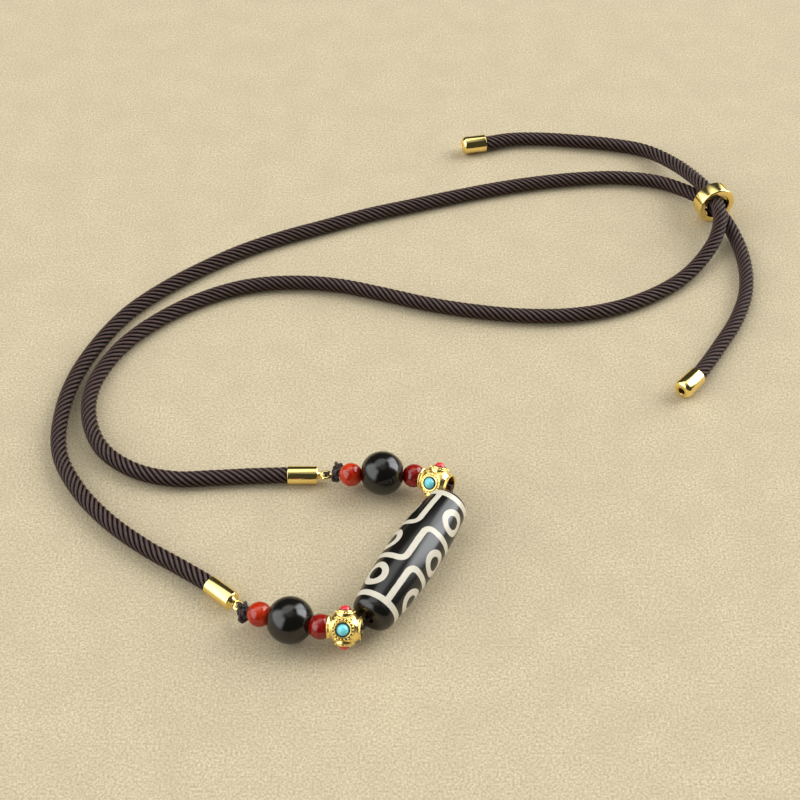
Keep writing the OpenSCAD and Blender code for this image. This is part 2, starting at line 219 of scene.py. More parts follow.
def lathe(profile, sides, closed=True):
    """A profile of (x, radius) or (x, radius, mark) turned about X."""
    points, marks = [], []
    for x, radius, *mark in profile:
        for k in range(sides):
            angle = 2 * math.pi * k / sides
            points.append(Vector((x, radius * math.cos(angle), radius * math.sin(angle))))
            marks.append(mark[0] if mark else 0.0)
    return Shape(points, grid_faces(len(profile), sides, closed), marks)


def arc(x, radius, size, start, end, steps):
    """Points of a round edge: its centre, its size, and where it starts and ends in degrees."""
    points = []
    for k in range(steps + 1):
        angle = math.radians(start + (end - start) * k / steps)
        points.append((x + size * math.cos(angle), radius + size * math.sin(angle)))
    return points


def ball(centre, diameter):
    form = bmesh.new()
    bmesh.ops.create_icosphere(form, subdivisions=2, radius=diameter / 2)
    points = [Vector(centre) + v.co for v in form.verts]
    faces = [tuple(v.index for v in f.verts) for f in form.faces]
    form.free()
    return Shape(points, faces)


def hermite(route, step):
    """Points along the smooth curve through a route, with the same slopes as the solids have."""
    p = [Vector(q) for q in route]
    spans = [(b - a).length for a, b in zip(p, p[1:])]

    def slope(i):
        if i == 0:
            return (p[1] - p[0]) / spans[0]
        if i == len(p) - 1:
            return (p[i] - p[i - 1]) / spans[i - 1]
        a, b = spans[i - 1], spans[i]
        return ((p[i + 1] - p[i]) * (a / b) + (p[i] - p[i - 1]) * (b / a)) / (a + b)

    points = []
    for i, span in enumerate(spans):
        count = max(1, round(span / step))
        for k in range(count):
            t = k / count
            points.append((2 * t ** 3 - 3 * t ** 2 + 1) * p[i]
                          + (t ** 3 - 2 * t ** 2 + t) * span * slope(i)
                          + (3 * t ** 2 - 2 * t ** 3) * p[i + 1]
                          + (t ** 3 - t ** 2) * span * slope(i + 1))
    points.append(p[-1])
    return points


def headings(path, closed=False):
    """Unit direction of a path at each of its points."""
    count = len(path)
    result = []
    for i in range(count):
        after = path[(i + 1) % count] if closed else path[min(i + 1, count - 1)]
        before = path[i - 1] if closed else path[max(i - 1, 0)]
        result.append((after - before).normalized())
    return result


def running_frames(path, closed=False):
    """Two directions across a path at each point, carried along it without twist."""
    ways = headings(path, closed)
    side = ways[0].orthogonal().normalized()
    frames = []
    for way in ways:
        side = (side - side.dot(way) * way).normalized()
        frames.append((side, way.cross(side)))
    return frames


def level_frames(path):
    """Two directions across a path at each point, of which the first stays level."""
    frames = []
    for way in headings(path):
        side = way.cross(Vector((0, 0, 1))).normalized()
        frames.append((side, side.cross(way)))
    return frames


def tube(path, radius, sides, closed=False):
    """A round tube along a path."""
    points = []
    for centre, (side, over) in zip(path, running_frames(path, closed)):
        for k in range(sides):
            angle = 2 * math.pi * k / sides
            points.append(centre + radius * (math.cos(angle) * side + math.sin(angle) * over))
    return Shape(points, grid_faces(len(path), sides, closed))


# How round the back of a strand is, where 1 is a half circle
STRAND_ROUNDNESS = 0.96


class Yarn:
    """Strands twisted round a path, with what the fibre material reads at each point."""

    def __init__(self, path, frames, halves, strands, lead, depth, points_each):
        self.points, self.valley, self.across, self.along = [], [], [], []
        sides = strands * points_each
        run = 0.0
        for i, (centre, (side, over), (wide, high)) in enumerate(zip(path, frames, halves)):
            if i:
                run += (centre - path[i - 1]).length
            twist = -2 * math.pi * run / lead
            for k in range(sides):
                in_strand = k % points_each / points_each * 2 - 1
                dip = 1 - math.sqrt(1 - STRAND_ROUNDNESS * in_strand ** 2)
                angle = 2 * math.pi * k / sides + twist
                across = wide * math.cos(angle) * side + high * math.sin(angle) * over
                self.points.append(centre + (1 - depth * dip) * across)
                self.valley.append(dip)
                self.across.append(in_strand * wide * math.pi / strands)
                self.along.append(run)
        self.faces = grid_faces(len(path), sides)
        self.length = run

    def add_to(self, mesh):
        store(mesh, "valley", self.valley)
        store(mesh, "across_mm", self.across)
        store(mesh, "along_mm", self.along)


def store(mesh, name, values):
    """Keeps one number for each point of a mesh, for its material to read."""
    attribute = mesh.attributes.new(name, "FLOAT", "POINT")
    attribute.data.foreach_set("value", np.asarray(values, np.float32))


SHARP_ANGLE = math.radians(40)


def add_piece(name, shape, matrix, slot, material, *nodes):
    """Makes a piece of the object, on the one body that there is, in the place of these nodes."""
    mesh = bpy.data.meshes.new(name)
    mesh.from_pydata([tuple(matrix @ p) for p in shape.points], [], shape.faces)
    form = bmesh.new()
    form.from_mesh(mesh)
    bmesh.ops.recalc_face_normals(form, faces=form.faces)
    form.to_mesh(mesh)
    form.free()
    mesh.shade_smooth()
    mesh.set_sharp_from_angle(angle=SHARP_ANGLE)
    mesh.materials.append(material)
    piece = bpy.data.objects.new(name, mesh)
    bpy.context.scene.collection.objects.link(piece)
    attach(piece, "root")
    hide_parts(*nodes)
    return piece


# Materials

class Shader:
    """The nodes of a material or of the world, with short calls to add and join them."""

    def __init__(self, owner, surface="Principled BSDF"):
        owner.use_nodes = True
        self.owner = owner
        self.nodes = owner.node_tree.nodes
        self.links = owner.node_tree.links
        self.surface = self.nodes[surface]

    def set(self, **values):
        for name, value in values.items():
            self.surface.inputs[name.replace("_", " ")].default_value = value
        return self

    def add(self, kind, inputs=(), **settings):
        node = self.nodes.new("ShaderNode" + kind)
        for name, value in settings.items():
            setattr(node, name, value)
        for key, value in dict(inputs).items():
            self.feed(node.inputs[key], value)
        return node

    def feed(self, socket, value):
        if isinstance(value, bpy.types.NodeSocket):
            self.links.new(value, socket)
        else:
            socket.default_value = value

    def join(self, output, name):
        self.links.new(output, self.surface.inputs[name])

    def place(self):
        return self.add("TexCoord").outputs["Object"]

    def stored(self, name):
        return self.add("Attribute", attribute_name=name).outputs["Fac"]

    def noise(self, per_metre, detail=3, roughness=0.5):
        return self.add("TexNoise", {"Vector": self.place(), "Scale": per_metre,
                                     "Detail": detail, "Roughness": roughness}).outputs["Fac"]

    def math(self, operation, a, b=0.0):
        return self.add("Math", {0: a, 1: b}, operation=operation).outputs[0]

    def spread(self, value, low, high, to_low=0.0, to_high=1.0, kind="LINEAR"):
        return self.add("MapRange", {"Value": value, "From Min": low, "From Max": high,
                                     "To Min": to_low, "To Max": to_high},
                        interpolation_type=kind).outputs["Result"]

    def blend(self, amount, first, second):
        mix = self.add("Mix", data_type="RGBA")
        for index, value in ((0, amount), (6, first), (7, second)):
            self.feed(mix.inputs[index], value)
        return mix.outputs[2]

    def bump(self, height, depth):
        """Relief of a height from 0 to 1, as deep as depth in metres."""
        relief = self.add("Bump", {"Height": height, "Distance": depth})
        self.join(relief.outputs["Normal"], "Normal")


def colour(red, green, blue):
    return (red, green, blue, 1.0)


def new_material(name, **values):
    return Shader(bpy.data.materials.new(name)).set(**values)


def gold_material(name, roughness):
    """Polished yellow gold with faint handling marks, and painted shade where a piece marks its
    recesses.
    """
    s = new_material(name, Metallic=1.0)
    tone = s.blend(s.noise(420), colour(1.0, 0.74, 0.24), colour(1.0, 0.80, 0.33))
    # Painted shade: dark brown in the mouths and stone settings, as deep as each piece marks its
    # recesses
    tone = s.blend(s.stored("recess_shade"), tone, colour(0.15, 0.045, 0.015))
    s.join(tone, "Base Color")
    s.join(s.spread(s.noise(900, 5), 0.3, 0.7, roughness * 0.7, roughness * 1.5), "Roughness")
    s.bump(s.noise(2600, 2), 0.00001)
    return s.owner


def black_material():
    """Black agate, a little brown where light gets in, with a high polish."""
    s = new_material("black_agate", IOR=1.54)
    s.join(s.blend(s.noise(160), colour(0.003, 0.0025, 0.002), colour(0.007, 0.0055, 0.004)),
           "Base Color")
    s.join(s.spread(s.noise(700, 4), 0.3, 0.7, 0.12, 0.2), "Roughness")
    return s.owner


def red_material(name, deep, clear):
    """Translucent red agate with soft clouds of a deep and a clear red."""
    s = new_material(name, IOR=1.54, Roughness=0.1, Transmission_Weight=0.3,
                     Subsurface_Weight=0.5, Subsurface_Scale=0.0014)
    s.surface.inputs["Subsurface Radius"].default_value = (1.0, 0.12, 0.04)
    cloud = s.spread(s.noise(330, 4, 0.6), 0.35, 0.65)
    s.join(s.blend(cloud, deep, clear), "Base Color")
    return s.owner


def turquoise_material():
    """Turquoise with faint veins, and painted shade that darkens its rim."""
    s = new_material("turquoise", Coat_Weight=0.4, Coat_Roughness=0.1, Roughness=0.25)
    vein = s.add("TexVoronoi", {"Vector": s.place(), "Scale": 1100.0},
                 feature="DISTANCE_TO_EDGE").outputs["Distance"]
    sky = s.blend(s.noise(900, 4), colour(0.12, 0.62, 0.70), colour(0.26, 0.82, 0.90))
    veined = s.blend(s.spread(vein, 0.0, 0.03), colour(0.08, 0.42, 0.47), sky)
    # Painted shade: dark blue-green at the stone's rim and foot, inside the setting
    s.join(s.blend(s.stored("rim"), veined, colour(0.015, 0.10, 0.11)), "Base Color")
    return s.owner


def coral_material():
    """Red coral, with painted shade that darkens its rim."""
    s = new_material("coral", Coat_Weight=0.4, Coat_Roughness=0.1, Roughness=0.22,
                     Subsurface_Weight=0.25, Subsurface_Scale=0.0006)
    red = s.blend(s.noise(800, 4), colour(0.66, 0.012, 0.022), colour(0.90, 0.045, 0.06))
    # Painted shade: dark red at the stone's rim and foot, inside the setting
    s.join(s.blend(s.stored("rim"), red, colour(0.12, 0.004, 0.004)), "Base Color")
    return s.owner


def fibre_material(name, dark, light, ply_mm, lean, valley_shade, roughness, specular):
    """Spun yarn with fine fibres along each strand, with painted shade that turns it dark over a
    range of valley.
    """
    s = new_material(name, Roughness=roughness, Specular_IOR_Level=specular)
    across = s.math("MULTIPLY", s.stored("across_mm"), 1 / ply_mm)
    slant = s.math("MULTIPLY", s.stored("along_mm"), lean / ply_mm)
    fibre = s.math("SINE", s.math("MULTIPLY", s.math("ADD", across, slant), 2 * math.pi))
    fibre = s.spread(fibre, -0.8, 0.8)
    grain = s.math("MULTIPLY", fibre, s.spread(s.noise(1500, 3), 0.3, 0.7, 0.5, 1.0))
    yarn = s.blend(grain, dark, light)
    # Painted shade: near black in the valleys between strands and windings, over the range given
    shade = s.spread(s.stored("valley"), *valley_shade)
    s.join(s.blend(shade, yarn, colour(0.003, 0.001, 0.001)), "Base Color")
    s.bump(grain, 0.00008)
    return s.owner


def pattern_material():
    """Black agate with ivory lines, drawn from each point's distance into a line."""
    s = new_material("banded_agate", IOR=1.54)
    wander = s.spread(s.noise(520, 3), 0.0, 1.0, -0.07, 0.07)
    depth = s.math("ADD", s.stored("line_mm"), wander)
    inside = s.spread(depth, -0.05, 0.05, kind="SMOOTHSTEP")
    black = s.blend(s.noise(140), colour(0.003, 0.0025, 0.002), colour(0.008, 0.0065, 0.005))
    ivory = s.blend(s.noise(700, 4), colour(0.56, 0.50, 0.39), colour(0.72, 0.67, 0.56))
    s.join(s.blend(inside, black, ivory), "Base Color")
    s.join(s.spread(inside, 0.0, 1.0, 0.2, 0.3), "Roughness")
    # Polishing streaks that run along the bead: many in a millimetre round it, few along it
    around = s.math("MULTIPLY", s.stored("around_mm"), 3.2)
    along_bead = s.math("MULTIPLY", s.stored("along_mm"), 0.12)
    streak_at = s.add("CombineXYZ", {0: around, 1: along_bead}).outputs[0]
    streak = s.add("TexNoise", {"Vector": streak_at, "Scale": 1.0, "Detail": 3.0})
    s.bump(streak.outputs["Fac"], 0.000012)
    return s.owner


# Camera

CAMERA_AT = (-24.5, -241.8, 265.0)
CAMERA_TILT = 42.5
CAMERA_LENS = 65.25


def make_camera():
    data = bpy.data.cameras.new("camera")
    data.lens = CAMERA_LENS
    data.clip_start = 0.01
    camera = bpy.data.objects.new("camera", data)
    camera.location = Vector(CAMERA_AT) * MM
    camera.rotation_euler = (math.radians(CAMERA_TILT), 0, 0)
    bpy.context.scene.collection.objects.link(camera)
    bpy.context.scene.camera = camera


# Cords

CORD_STRANDS = 8
CORD_LEAD = 13.5
CORD_DEPTH = 0.36
CORD_STEP = 0.5
STRAND_POINTS = 8


def squeeze(point):
    """Half width and half height of the cord at a point, less where the ring holds it."""
    distance = (point - centre_of(RING_AT)).length
    k = (SQUEEZE_TO - distance) / (SQUEEZE_TO - SQUEEZE_FROM)
    k = max(0.0, min(1.0, k))
    return [CORD_D / 2 * (1 - k) + half * k for half in SQUEEZE_HALF]


def make_cord(name, node, route, material):
    """A cord along its route, held up where the curve would dip below the surface."""
    path = [Vector((p.x, p.y, max(p.z, CORD_Z))) for p in hermite(route, CORD_STEP)]
    yarn = Yarn(path, level_frames(path), [squeeze(p) for p in path], CORD_STRANDS, CORD_LEAD,
                CORD_DEPTH, STRAND_POINTS)
    piece = add_piece(name, yarn, IN_METRES, "cord", material, node)
    yarn.add_to(piece.data)


def make_cords(metal):
    # From valley 0.01 to 0.22 the cord darkens with painted shade
    material = fibre_material("cord", colour(0.045, 0.021, 0.017), colour(0.20, 0.112, 0.092),
                              0.42, 0.5, (0.01, 0.22), 0.5, 0.3)
    make_cord("outer_cord", "cord_outer", OUTER_ROUTE, material)
    make_cord("inner_cord", "cord_inner", INNER_ROUTE, material)


# Barrel bead

BARREL_SIDES = 240
BARREL_RINGS = 170

# Ivory lines: three staircases that wrap round the bead, nine eyes and two end rings.
# Turns are in degrees from straight up, and distances along the axis in millimetres.
LINE_HALF = 0.71
CROSSINGS = [(-17, 9, 30), (111, 131, 150), (221, 246, 267)]
FAR_STEP, NEAR_STEP = 5.5, -4.9
FAR_RING, FAR_RING_HALF = 16.35, 0.75
NEAR_RING, NEAR_RING_HALF = -15.2, 0.7
CORNER_R = 2.0
CORNER_STEPS = 6
EYES = [(11, 55.7), (11, 166), (11, -84), (0.1, 74.5), (0.1, 189), (0.1, -57),
        (-10.1, 92), (-10.1, 209), (-10.1, -34.7)]
EYE_LINE_R = 2.38
EYE_LINE_HALF = 0.76


def barrel_outline():
    """Outer (x, radius) points from the flat of one end to that of the other."""
    half = BARREL_LEN / 2
    bulge = (BARREL_D - BARREL_END_D) / 2
    arc_r = (half ** 2 + bulge ** 2) / (2 * bulge)
    arc_x = BARREL_D / 2 - arc_r
    edge_x = half - BARREL_EDGE_R
    edge_r = arc_x + math.sqrt((arc_r - BARREL_EDGE_R) ** 2 - edge_x ** 2)
    lean = math.asin(edge_x / (arc_r - BARREL_EDGE_R))
    join = arc_r * math.sin(lean)
    body = [(x, arc_x + math.sqrt(arc_r ** 2 - x ** 2))
            for x in np.linspace(-join, join, BARREL_RINGS)]
    lean = math.degrees(lean)
    return (arc(-edge_x, edge_r, BARREL_EDGE_R, 180, 90 + lean, steps=14)[:-1] + body
            + arc(edge_x, edge_r, BARREL_EDGE_R, 90 - lean, 0, steps=14)[1:])


def unit(vector):
    return vector / np.linalg.norm(vector)


def rounded(corners, size):
    """A line through corners that are (x, turned distance), with its bends rounded."""
    points = [np.array(corners[0], float)]
    for before, corner, after in zip(corners, corners[1:], corners[2:]):
        corner = np.array(corner, float)
        start = corner + size * unit(before - corner)
        end = corner + size * unit(after - corner)
        for t in np.linspace(0, 1, CORNER_STEPS + 1):
            points.append((1 - t) ** 2 * start + 2 * t * (1 - t) * corner + t ** 2 * end)
    points.append(np.array(corners[-1], float))
    return points


def staircase(first):
    """One line from the far ring to the near ring, in (x, degrees) points."""
    far = CROSSINGS[first][0]
    middle = CROSSINGS[first - 1][1]
    near = CROSSINGS[first - 2][2]
    while middle > far:
        middle -= 360
    while near > middle:
        near -= 360
    scale = math.radians(1) * BARREL_D / 2
    corners = [(FAR_RING, far), (FAR_STEP, far), (FAR_STEP, middle), (NEAR_STEP, middle),
               (NEAR_STEP, near), (NEAR_RING, near)]
    line = rounded([(x, turn * scale) for x, turn in corners], CORNER_R)
    return [(x, turned / scale) for x, turned in line]


def turned_apart(turns, turn):
    """How far turns lie from another one round the bead, from -180 to 180 degrees."""
    return (turns - turn + 180) % 360 - 180


def line_depth(x, turns, radius):
    """How far points of the barrel's surface lie inside an ivory line, in millimetres."""
    depth = np.maximum(FAR_RING_HALF - abs(x - FAR_RING), NEAR_RING_HALF - abs(x - NEAR_RING))
    for eye_x, eye_turn in EYES:
        across = np.radians(turned_apart(turns, eye_turn)) * radius
        depth = np.maximum(depth, EYE_LINE_HALF - abs(np.hypot(x - eye_x, across) - EYE_LINE_R))
    for first in range(len(CROSSINGS)):
        line = staircase(first)
        for (x0, turn0), (x1, turn1) in zip(line, line[1:]):
            dx, dy = x1 - x0, np.radians(turn1 - turn0) * radius
            px = x - x0
            middle = (turn0 + turn1) / 2
            py = np.radians(turned_apart(turns, middle) + middle - turn0) * radius
            t = np.clip((px * dx + py * dy) / (dx ** 2 + dy ** 2), 0, 1)
            depth = np.maximum(depth, LINE_HALF - np.hypot(px - t * dx, py - t * dy))
    return depth


def make_barrel():
    half = BARREL_LEN / 2
    chamfer = 0.15
    bore = [(half, BARREL_BORE_R + chamfer), (half - chamfer, BARREL_BORE_R),
            (chamfer - half, BARREL_BORE_R), (-half, BARREL_BORE_R + chamfer)]
    shape = lathe(barrel_outline() + bore, BARREL_SIDES)
    points = np.array([tuple(p) for p in shape.points])
    radius = np.hypot(points[:, 1], points[:, 2])
    turns = np.degrees(np.arctan2(-points[:, 1], points[:, 2]))
    depth = line_depth(points[:, 0], turns, radius)
    piece = add_piece("dzi_bead", shape, placed(BARREL_AT), "banded_agate", pattern_material(),
                      "barrel_bead")
    store(piece.data, "line_mm", depth)
    store(piece.data, "along_mm", points[:, 0])
    store(piece.data, "around_mm", np.radians(turns) * radius)


# Round beads

def black_bead_shape():
    """A ball with a shallow hollow round each mouth of its hole."""
    rim = math.degrees(math.asin(BLACK_SEAT_R / BLACK_R))
    floor_x = BLACK_RIM_X - BLACK_SEAT_DEPTH
    profile = arc(0, 0, BLACK_R, 180 - rim, rim, steps=64)
    profile += [(floor_x, BLACK_SEAT_FLOOR_R), (floor_x - BORE_CHAMFER, BEAD_BORE_R),
                (BORE_CHAMFER - floor_x, BEAD_BORE_R), (-floor_x, BLACK_SEAT_FLOOR_R)]
    return lathe(profile, sides=96)


def red_bead_shape():
    """A ball with a flat round each mouth of its hole."""
    flat = math.degrees(math.acos(RED_FLAT_X / RED_R))
    mouth_r = BEAD_BORE_R + BORE_CHAMFER
    profile = arc(0, 0, RED_R, 180 - flat, flat, steps=40)
    profile += [(RED_FLAT_X, mouth_r), (RED_FLAT_X - BORE_CHAMFER, BEAD_BORE_R),
                (BORE_CHAMFER - RED_FLAT_X, BEAD_BORE_R), (-RED_FLAT_X, mouth_r)]
    return lathe(profile, sides=72)


def make_round_beads():
    black = black_material()
    for side, place in (("near", NEAR_BLACK_AT), ("far", FAR_BLACK_AT)):
        add_piece(f"round_black_{side}", black_bead_shape(), placed(place), "black_agate", black,
                  f"black_bead_{side}")
    orange = red_material("red_agate", colour(0.42, 0.010, 0.003), colour(0.84, 0.070, 0.008))
    crimson = red_material("deep_red_agate", colour(0.22, 0.003, 0.002),
                           colour(0.46, 0.014, 0.006))
    for side, place, red in (("near_outer", NEAR_RED_OUT_AT, orange),
                             ("near_inner", NEAR_RED_IN_AT, crimson),
                             ("far_outer", FAR_RED_OUT_AT, orange),
                             ("far_inner", FAR_RED_IN_AT, crimson)):
        add_piece(f"round_red_{side}", red_bead_shape(), placed(place), "red_agate", red,
                  f"red_bead_{side}")


# Gold beads

# Half outline of the body and one collar, from the middle out to the lip and into the mouth:
# distance along the axis, radius and how much painted shade darkens it there
BODY_HALF = [(0, 3.44), (0.8, 3.43), (1.4, 3.38), (1.9, 3.26), (2.3, 3.06), (2.6, 2.84),
             (2.8, 2.66), (2.95, 2.53), (3.08, 2.47), (3.2, 2.5), (3.32, 2.6), (3.44, 2.68),
             (3.55, 2.7), (3.63, 2.66), (3.65, 2.56), (3.63, 2.42), (3.56, 2.31),
             (3.46, 2.24, 0.5), (3.3, 2.16, 0.9), (2.9, 1.95, 1.0), (2.45, 1.7, 1.0),
             (2.45, 1.1, 1.0), (2.35, 0.9, 1.0)]

# Outline of a medallion: height above the bead's axis, radius and how much painted shade darkens it
# there
MEDALLION = [(2.6, 2.32), (3.1, 2.35), (3.26, 2.34), (3.33, 2.28), (3.34, 2.18, 0.3),
             (3.32, 2.0, 0.5), (3.36, 1.88, 0.3), (3.5, 1.85), (3.7, 1.83), (3.79, 1.76),
             (3.79, 1.62), (3.74, 1.53, 0.3), (3.6, 1.46, 1.0), (3.2, 1.44, 1.0),
             (3.17, 0.3, 1.0)]
GRAINS = 18
GRAIN_D = 0.46
GRAIN_RING_R = 2.08
GRAIN_HEIGHT = 3.36
STONE_FOOT_R, STONE_R = 1.36, 1.22
STONE_FOOT, STONE_SHOULDER, STONE_TOP = 3.26, 3.84, 4.74
STONE_FOOT_EDGE = 0.08
DOME_STEPS = 14
SCROLL_WIRE_R, SCROLL_LIFT = 0.1, 0.03
CURL_STEPS = 24
CURL_GRAIN_D, CURL_GRAIN_LIFT = 0.32, 0.05


def medallion_shape():
    """A rimmed disc with a ring of grains, pointing up."""
    disc = lathe(MEDALLION, sides=72, closed=False)
    grains = []
    for k in range(GRAINS):
        angle = 2 * math.pi * (k + 0.5) / GRAINS
        grains.append(ball((GRAIN_HEIGHT, GRAIN_RING_R * math.cos(angle),
                            GRAIN_RING_R * math.sin(angle)), GRAIN_D))
    return joined([disc] + grains).moved(UPRIGHT)


def scroll_shape():
    """An S of wire that lies on the body, with a grain in each curl."""
    outline_x = [p[0] for p in BODY_HALF[:6]]
    outline_r = [p[1] for p in BODY_HALF[:6]]

    def on_body(x, y, lift):
        r = float(np.interp(abs(x), outline_x, outline_r))
        return Vector((x, (r + lift) * math.sin(y / r), (r + lift) * math.cos(y / r)))

    curl_x, curl_out, curl_in, curl_turns = 1.5, 0.5, 0.2, 1.1
    path = []
    for k in range(CURL_STEPS + 1):
        t = k / CURL_STEPS
        size = curl_in + (curl_out - curl_in) * t
        angle = math.pi / 2 - 2 * math.pi * curl_turns * (1 - t)
        path.append((curl_x + size * math.cos(angle), size * math.sin(angle)))
    path += [(-x, -y) for x, y in reversed(path)]
    wire = tube([on_body(x, y, SCROLL_LIFT) for x, y in path], SCROLL_WIRE_R, sides=8)
    grains = [ball(on_body(x, 0, CURL_GRAIN_LIFT), CURL_GRAIN_D) for x in (-curl_x, curl_x)]
    return joined([wire] + grains)


def gold_bead_shape(elevation):
    profile = BODY_HALF + [(-x, r, *mark) for x, r, *mark in reversed(BODY_HALF[1:])]
    shapes = [lathe(profile, sides=96)]
    medallion, scroll = medallion_shape(), scroll_shape()
    for face in range(4):
        turn = math.radians(90 - elevation + 90 * face)
        shapes.append(medallion.moved(Matrix.Rotation(turn, 4, "X")))
        shapes.append(scroll.moved(Matrix.Rotation(turn + math.pi / 4, 4, "X")))
    return joined(shapes)


def stone_shape():
    """A dome on a short foot, marked where painted shade darkens its foot and rim."""
    rise = STONE_TOP - STONE_SHOULDER
    dome_r = (STONE_R ** 2 + rise ** 2) / (2 * rise)
    widest = math.degrees(math.asin(STONE_R / dome_r))
    profile = [(STONE_FOOT, STONE_FOOT_R, 1.0),
               (STONE_SHOULDER - STONE_FOOT_EDGE, STONE_FOOT_R, 1.0)]
    # The last ring stops one degree from the top, so that its cap has a size
    stop_short = 1
    for k in range(DOME_STEPS + 1):
        angle = math.radians(widest * (1 - k / DOME_STEPS) + stop_short)
        # Painted shade, strongest at the rim and gone three rings up the dome
        mark = max(0.0, 0.9 - k / 3)
        profile.append((STONE_TOP - dome_r + dome_r * math.cos(angle),
                        dome_r * math.sin(angle), mark))
    return lathe(profile, sides=48, closed=False).moved(UPRIGHT)


def make_gold_beads():
    gold = gold_material("worked_gold", 0.24)
    turquoise, coral = turquoise_material(), coral_material()
    faces = (("turquoise", "front", turquoise), ("coral", "bottom", coral),
             ("turquoise", "back", turquoise), ("coral", "top", coral))
    dome = stone_shape()
    for side, place, elevation in (("near", NEAR_GOLD_AT, NEAR_FACE),
                                   ("far", FAR_GOLD_AT, FAR_FACE)):
        shape = gold_bead_shape(elevation)
        bead = add_piece(f"set_gold_{side}", shape, placed(place), "gold", gold,
                         f"gold_bead_{side}")
        # The painted shade of the mouths and settings, for the gold material
        store(bead.data, "recess_shade", shape.marks)
        for face, (slot, where, material) in enumerate(faces):
            turn = Matrix.Rotation(math.radians(90 - elevation + 90 * face), 4, "X")
            stone = add_piece(f"{slot}_dome_{side}_{where}", dome, placed(place) @ turn,
                              slot, material, f"{slot}_{side}_{where}")
            # The painted shade at the rim, for the stone's material
            store(stone.data, "rim", dome.marks)


# Cord ends and the ring

# Outlines that end on the axis stop at this radius
AXIS_R = 0.05
# Outline of a ferrule's nose and neck: distance past the end of its tube, and radius
FERRULE_NOSE = [(0, 1.555), (-0.12, 1.425), (-0.16, 1.275), (-0.14, 1.08), (0.1, 0.93),
                (0.45, 0.82), (0.62, 0.55), (0.66, AXIS_R)]


def ferrule_shape():
    """A tube with a rimmed nose, and a wire eye on a short neck."""
    edge_r, nose_r = 0.1, 0.42
    profile = [(GRIP_DEPTH, AXIS_R), (GRIP_DEPTH, GRIP_BORE_R), (edge_r, GRIP_BORE_R),
               (0, GRIP_BORE_R + 0.06)]
    profile += arc(edge_r, FERRULE_R - edge_r, edge_r, 180, 90, steps=4)
    profile += arc(FERRULE_LEN - nose_r, FERRULE_R - nose_r, nose_r, 90, 20, steps=8)
    profile += [(FERRULE_LEN + x, r) for x, r in FERRULE_NOSE]
    circle = [Vector((EYE_AT + EYE_R * math.cos(a), EYE_R * math.sin(a), 0))
              for a in np.linspace(0, 2 * math.pi, 48, endpoint=False)]
    return joined([lathe(profile, sides=96, closed=False),
                   tube(circle, EYE_WIRE_R, sides=18, closed=True)])


def tip_shape():
    """A cup that grips the cord, with a round nose and a hole in its end."""
    chamfer, hole_edge_r, edge_r = 0.08, 0.1, 0.12
    profile = [(chamfer, GRIP_BORE_R), (GRIP_DEPTH, GRIP_BORE_R), (GRIP_DEPTH, TIP_HOLE_R)]
    profile += arc(TIP_LEN - hole_edge_r, TIP_HOLE_R + hole_edge_r, hole_edge_r, -90, 0, steps=3)
    profile += arc(TIP_LEN - TIP_NOSE_R, TIP_R - TIP_NOSE_R, TIP_NOSE_R, 0, 90, steps=14)
    profile += arc(edge_r, TIP_R - edge_r, edge_r, 90, 180, steps=4)
    profile += [(0, GRIP_BORE_R + chamfer)]
    return lathe(profile, sides=96)


def ring_shape():
    """A ring whose four edges are round."""
    profile = []
    for x, r, start in ((RING_HALF - RING_EDGE, RING_R - RING_EDGE, 90),
                        (RING_HALF - RING_EDGE, RING_BORE_R + RING_EDGE, 0),
                        (RING_EDGE - RING_HALF, RING_BORE_R + RING_EDGE, -90),
                        (RING_EDGE - RING_HALF, RING_R - RING_EDGE, -180)):
        profile += arc(x, r, RING_EDGE, start, start - 90, steps=8)
    return lathe(profile, sides=144)


def make_metal():
    """The caps, tips and ring, by the names of their nodes."""
    gold = gold_material("polished_gold", 0.09)
    metal = {}
    for name, shape, place, node in (
            ("cord_cap_near", ferrule_shape(), NEAR_FERRULE_AT, "ferrule_near"),
            ("cord_cap_far", ferrule_shape(), FAR_FERRULE_AT, "ferrule_far"),
            ("cord_tip_near", tip_shape(), NEAR_TIP_AT, "end_tip_near"),
            ("cord_tip_far", tip_shape(), FAR_TIP_AT, "end_tip_far"),
            ("cord_ring", ring_shape(), RING_AT, "slider_ring")):
        metal[node] = add_piece(name, shape, placed(place), "gold", gold, node)
    return metal


# Knots and thread

THREAD_STRANDS = 3
THREAD_LEAD = 2.6
THREAD_DEPTH = 0.2
THREAD_STRAND_POINTS = 6

# Each knot is one winding round the hole and a wavy closed one on either side of it
CORE_TURNS = 3
CORE_HALF = 0.8
CORE_WINDING_R = 0.8
CORE_YARN_R = 0.36
LOBE_RING_R, LOBE_WAVE, LOBE_HEIGHT = 0.6, 0.44, 1.35
LOBE_YARN_R = 0.34
LOBE_LEAN = 0.5
# The side of each lobe, and how far its winding is turned, in radians
LOBE_TURNS = ((-1, 0.4), (1, 1.3))


def between(place, reach, other, other_reach):
    """Where a bead's hole meets the next one's."""
    return (along(place, reach) + along(other, -other_reach)) / 2


def strand_run(knot, red_out, black, red_in, gold):
    """Where the thread bends, from inside a knot to just past the gold bead."""
    mouth = GOLD_HALF - MOUTH_DEPTH
    return [along(knot, -0.2), between(knot, KNOT_CORE_R, red_out, RED_FLAT_X),
            between(red_out, RED_FLAT_X, black, BLACK_RIM_X),
            between(black, BLACK_RIM_X, red_in, RED_FLAT_X),
            between(red_in, RED_FLAT_X, gold, mouth),
            along(gold, mouth), along(gold, GOLD_HALF + 0.3)]


def thread_path():
    near = strand_run(NEAR_KNOT_AT, NEAR_RED_OUT_AT, NEAR_BLACK_AT, NEAR_RED_IN_AT, NEAR_GOLD_AT)
    far = strand_run(FAR_KNOT_AT, FAR_RED_OUT_AT, FAR_BLACK_AT, FAR_RED_IN_AT, FAR_GOLD_AT)
    half = BARREL_LEN / 2
    return near + [along(BARREL_AT, -half), along(BARREL_AT, half)] + far[::-1]


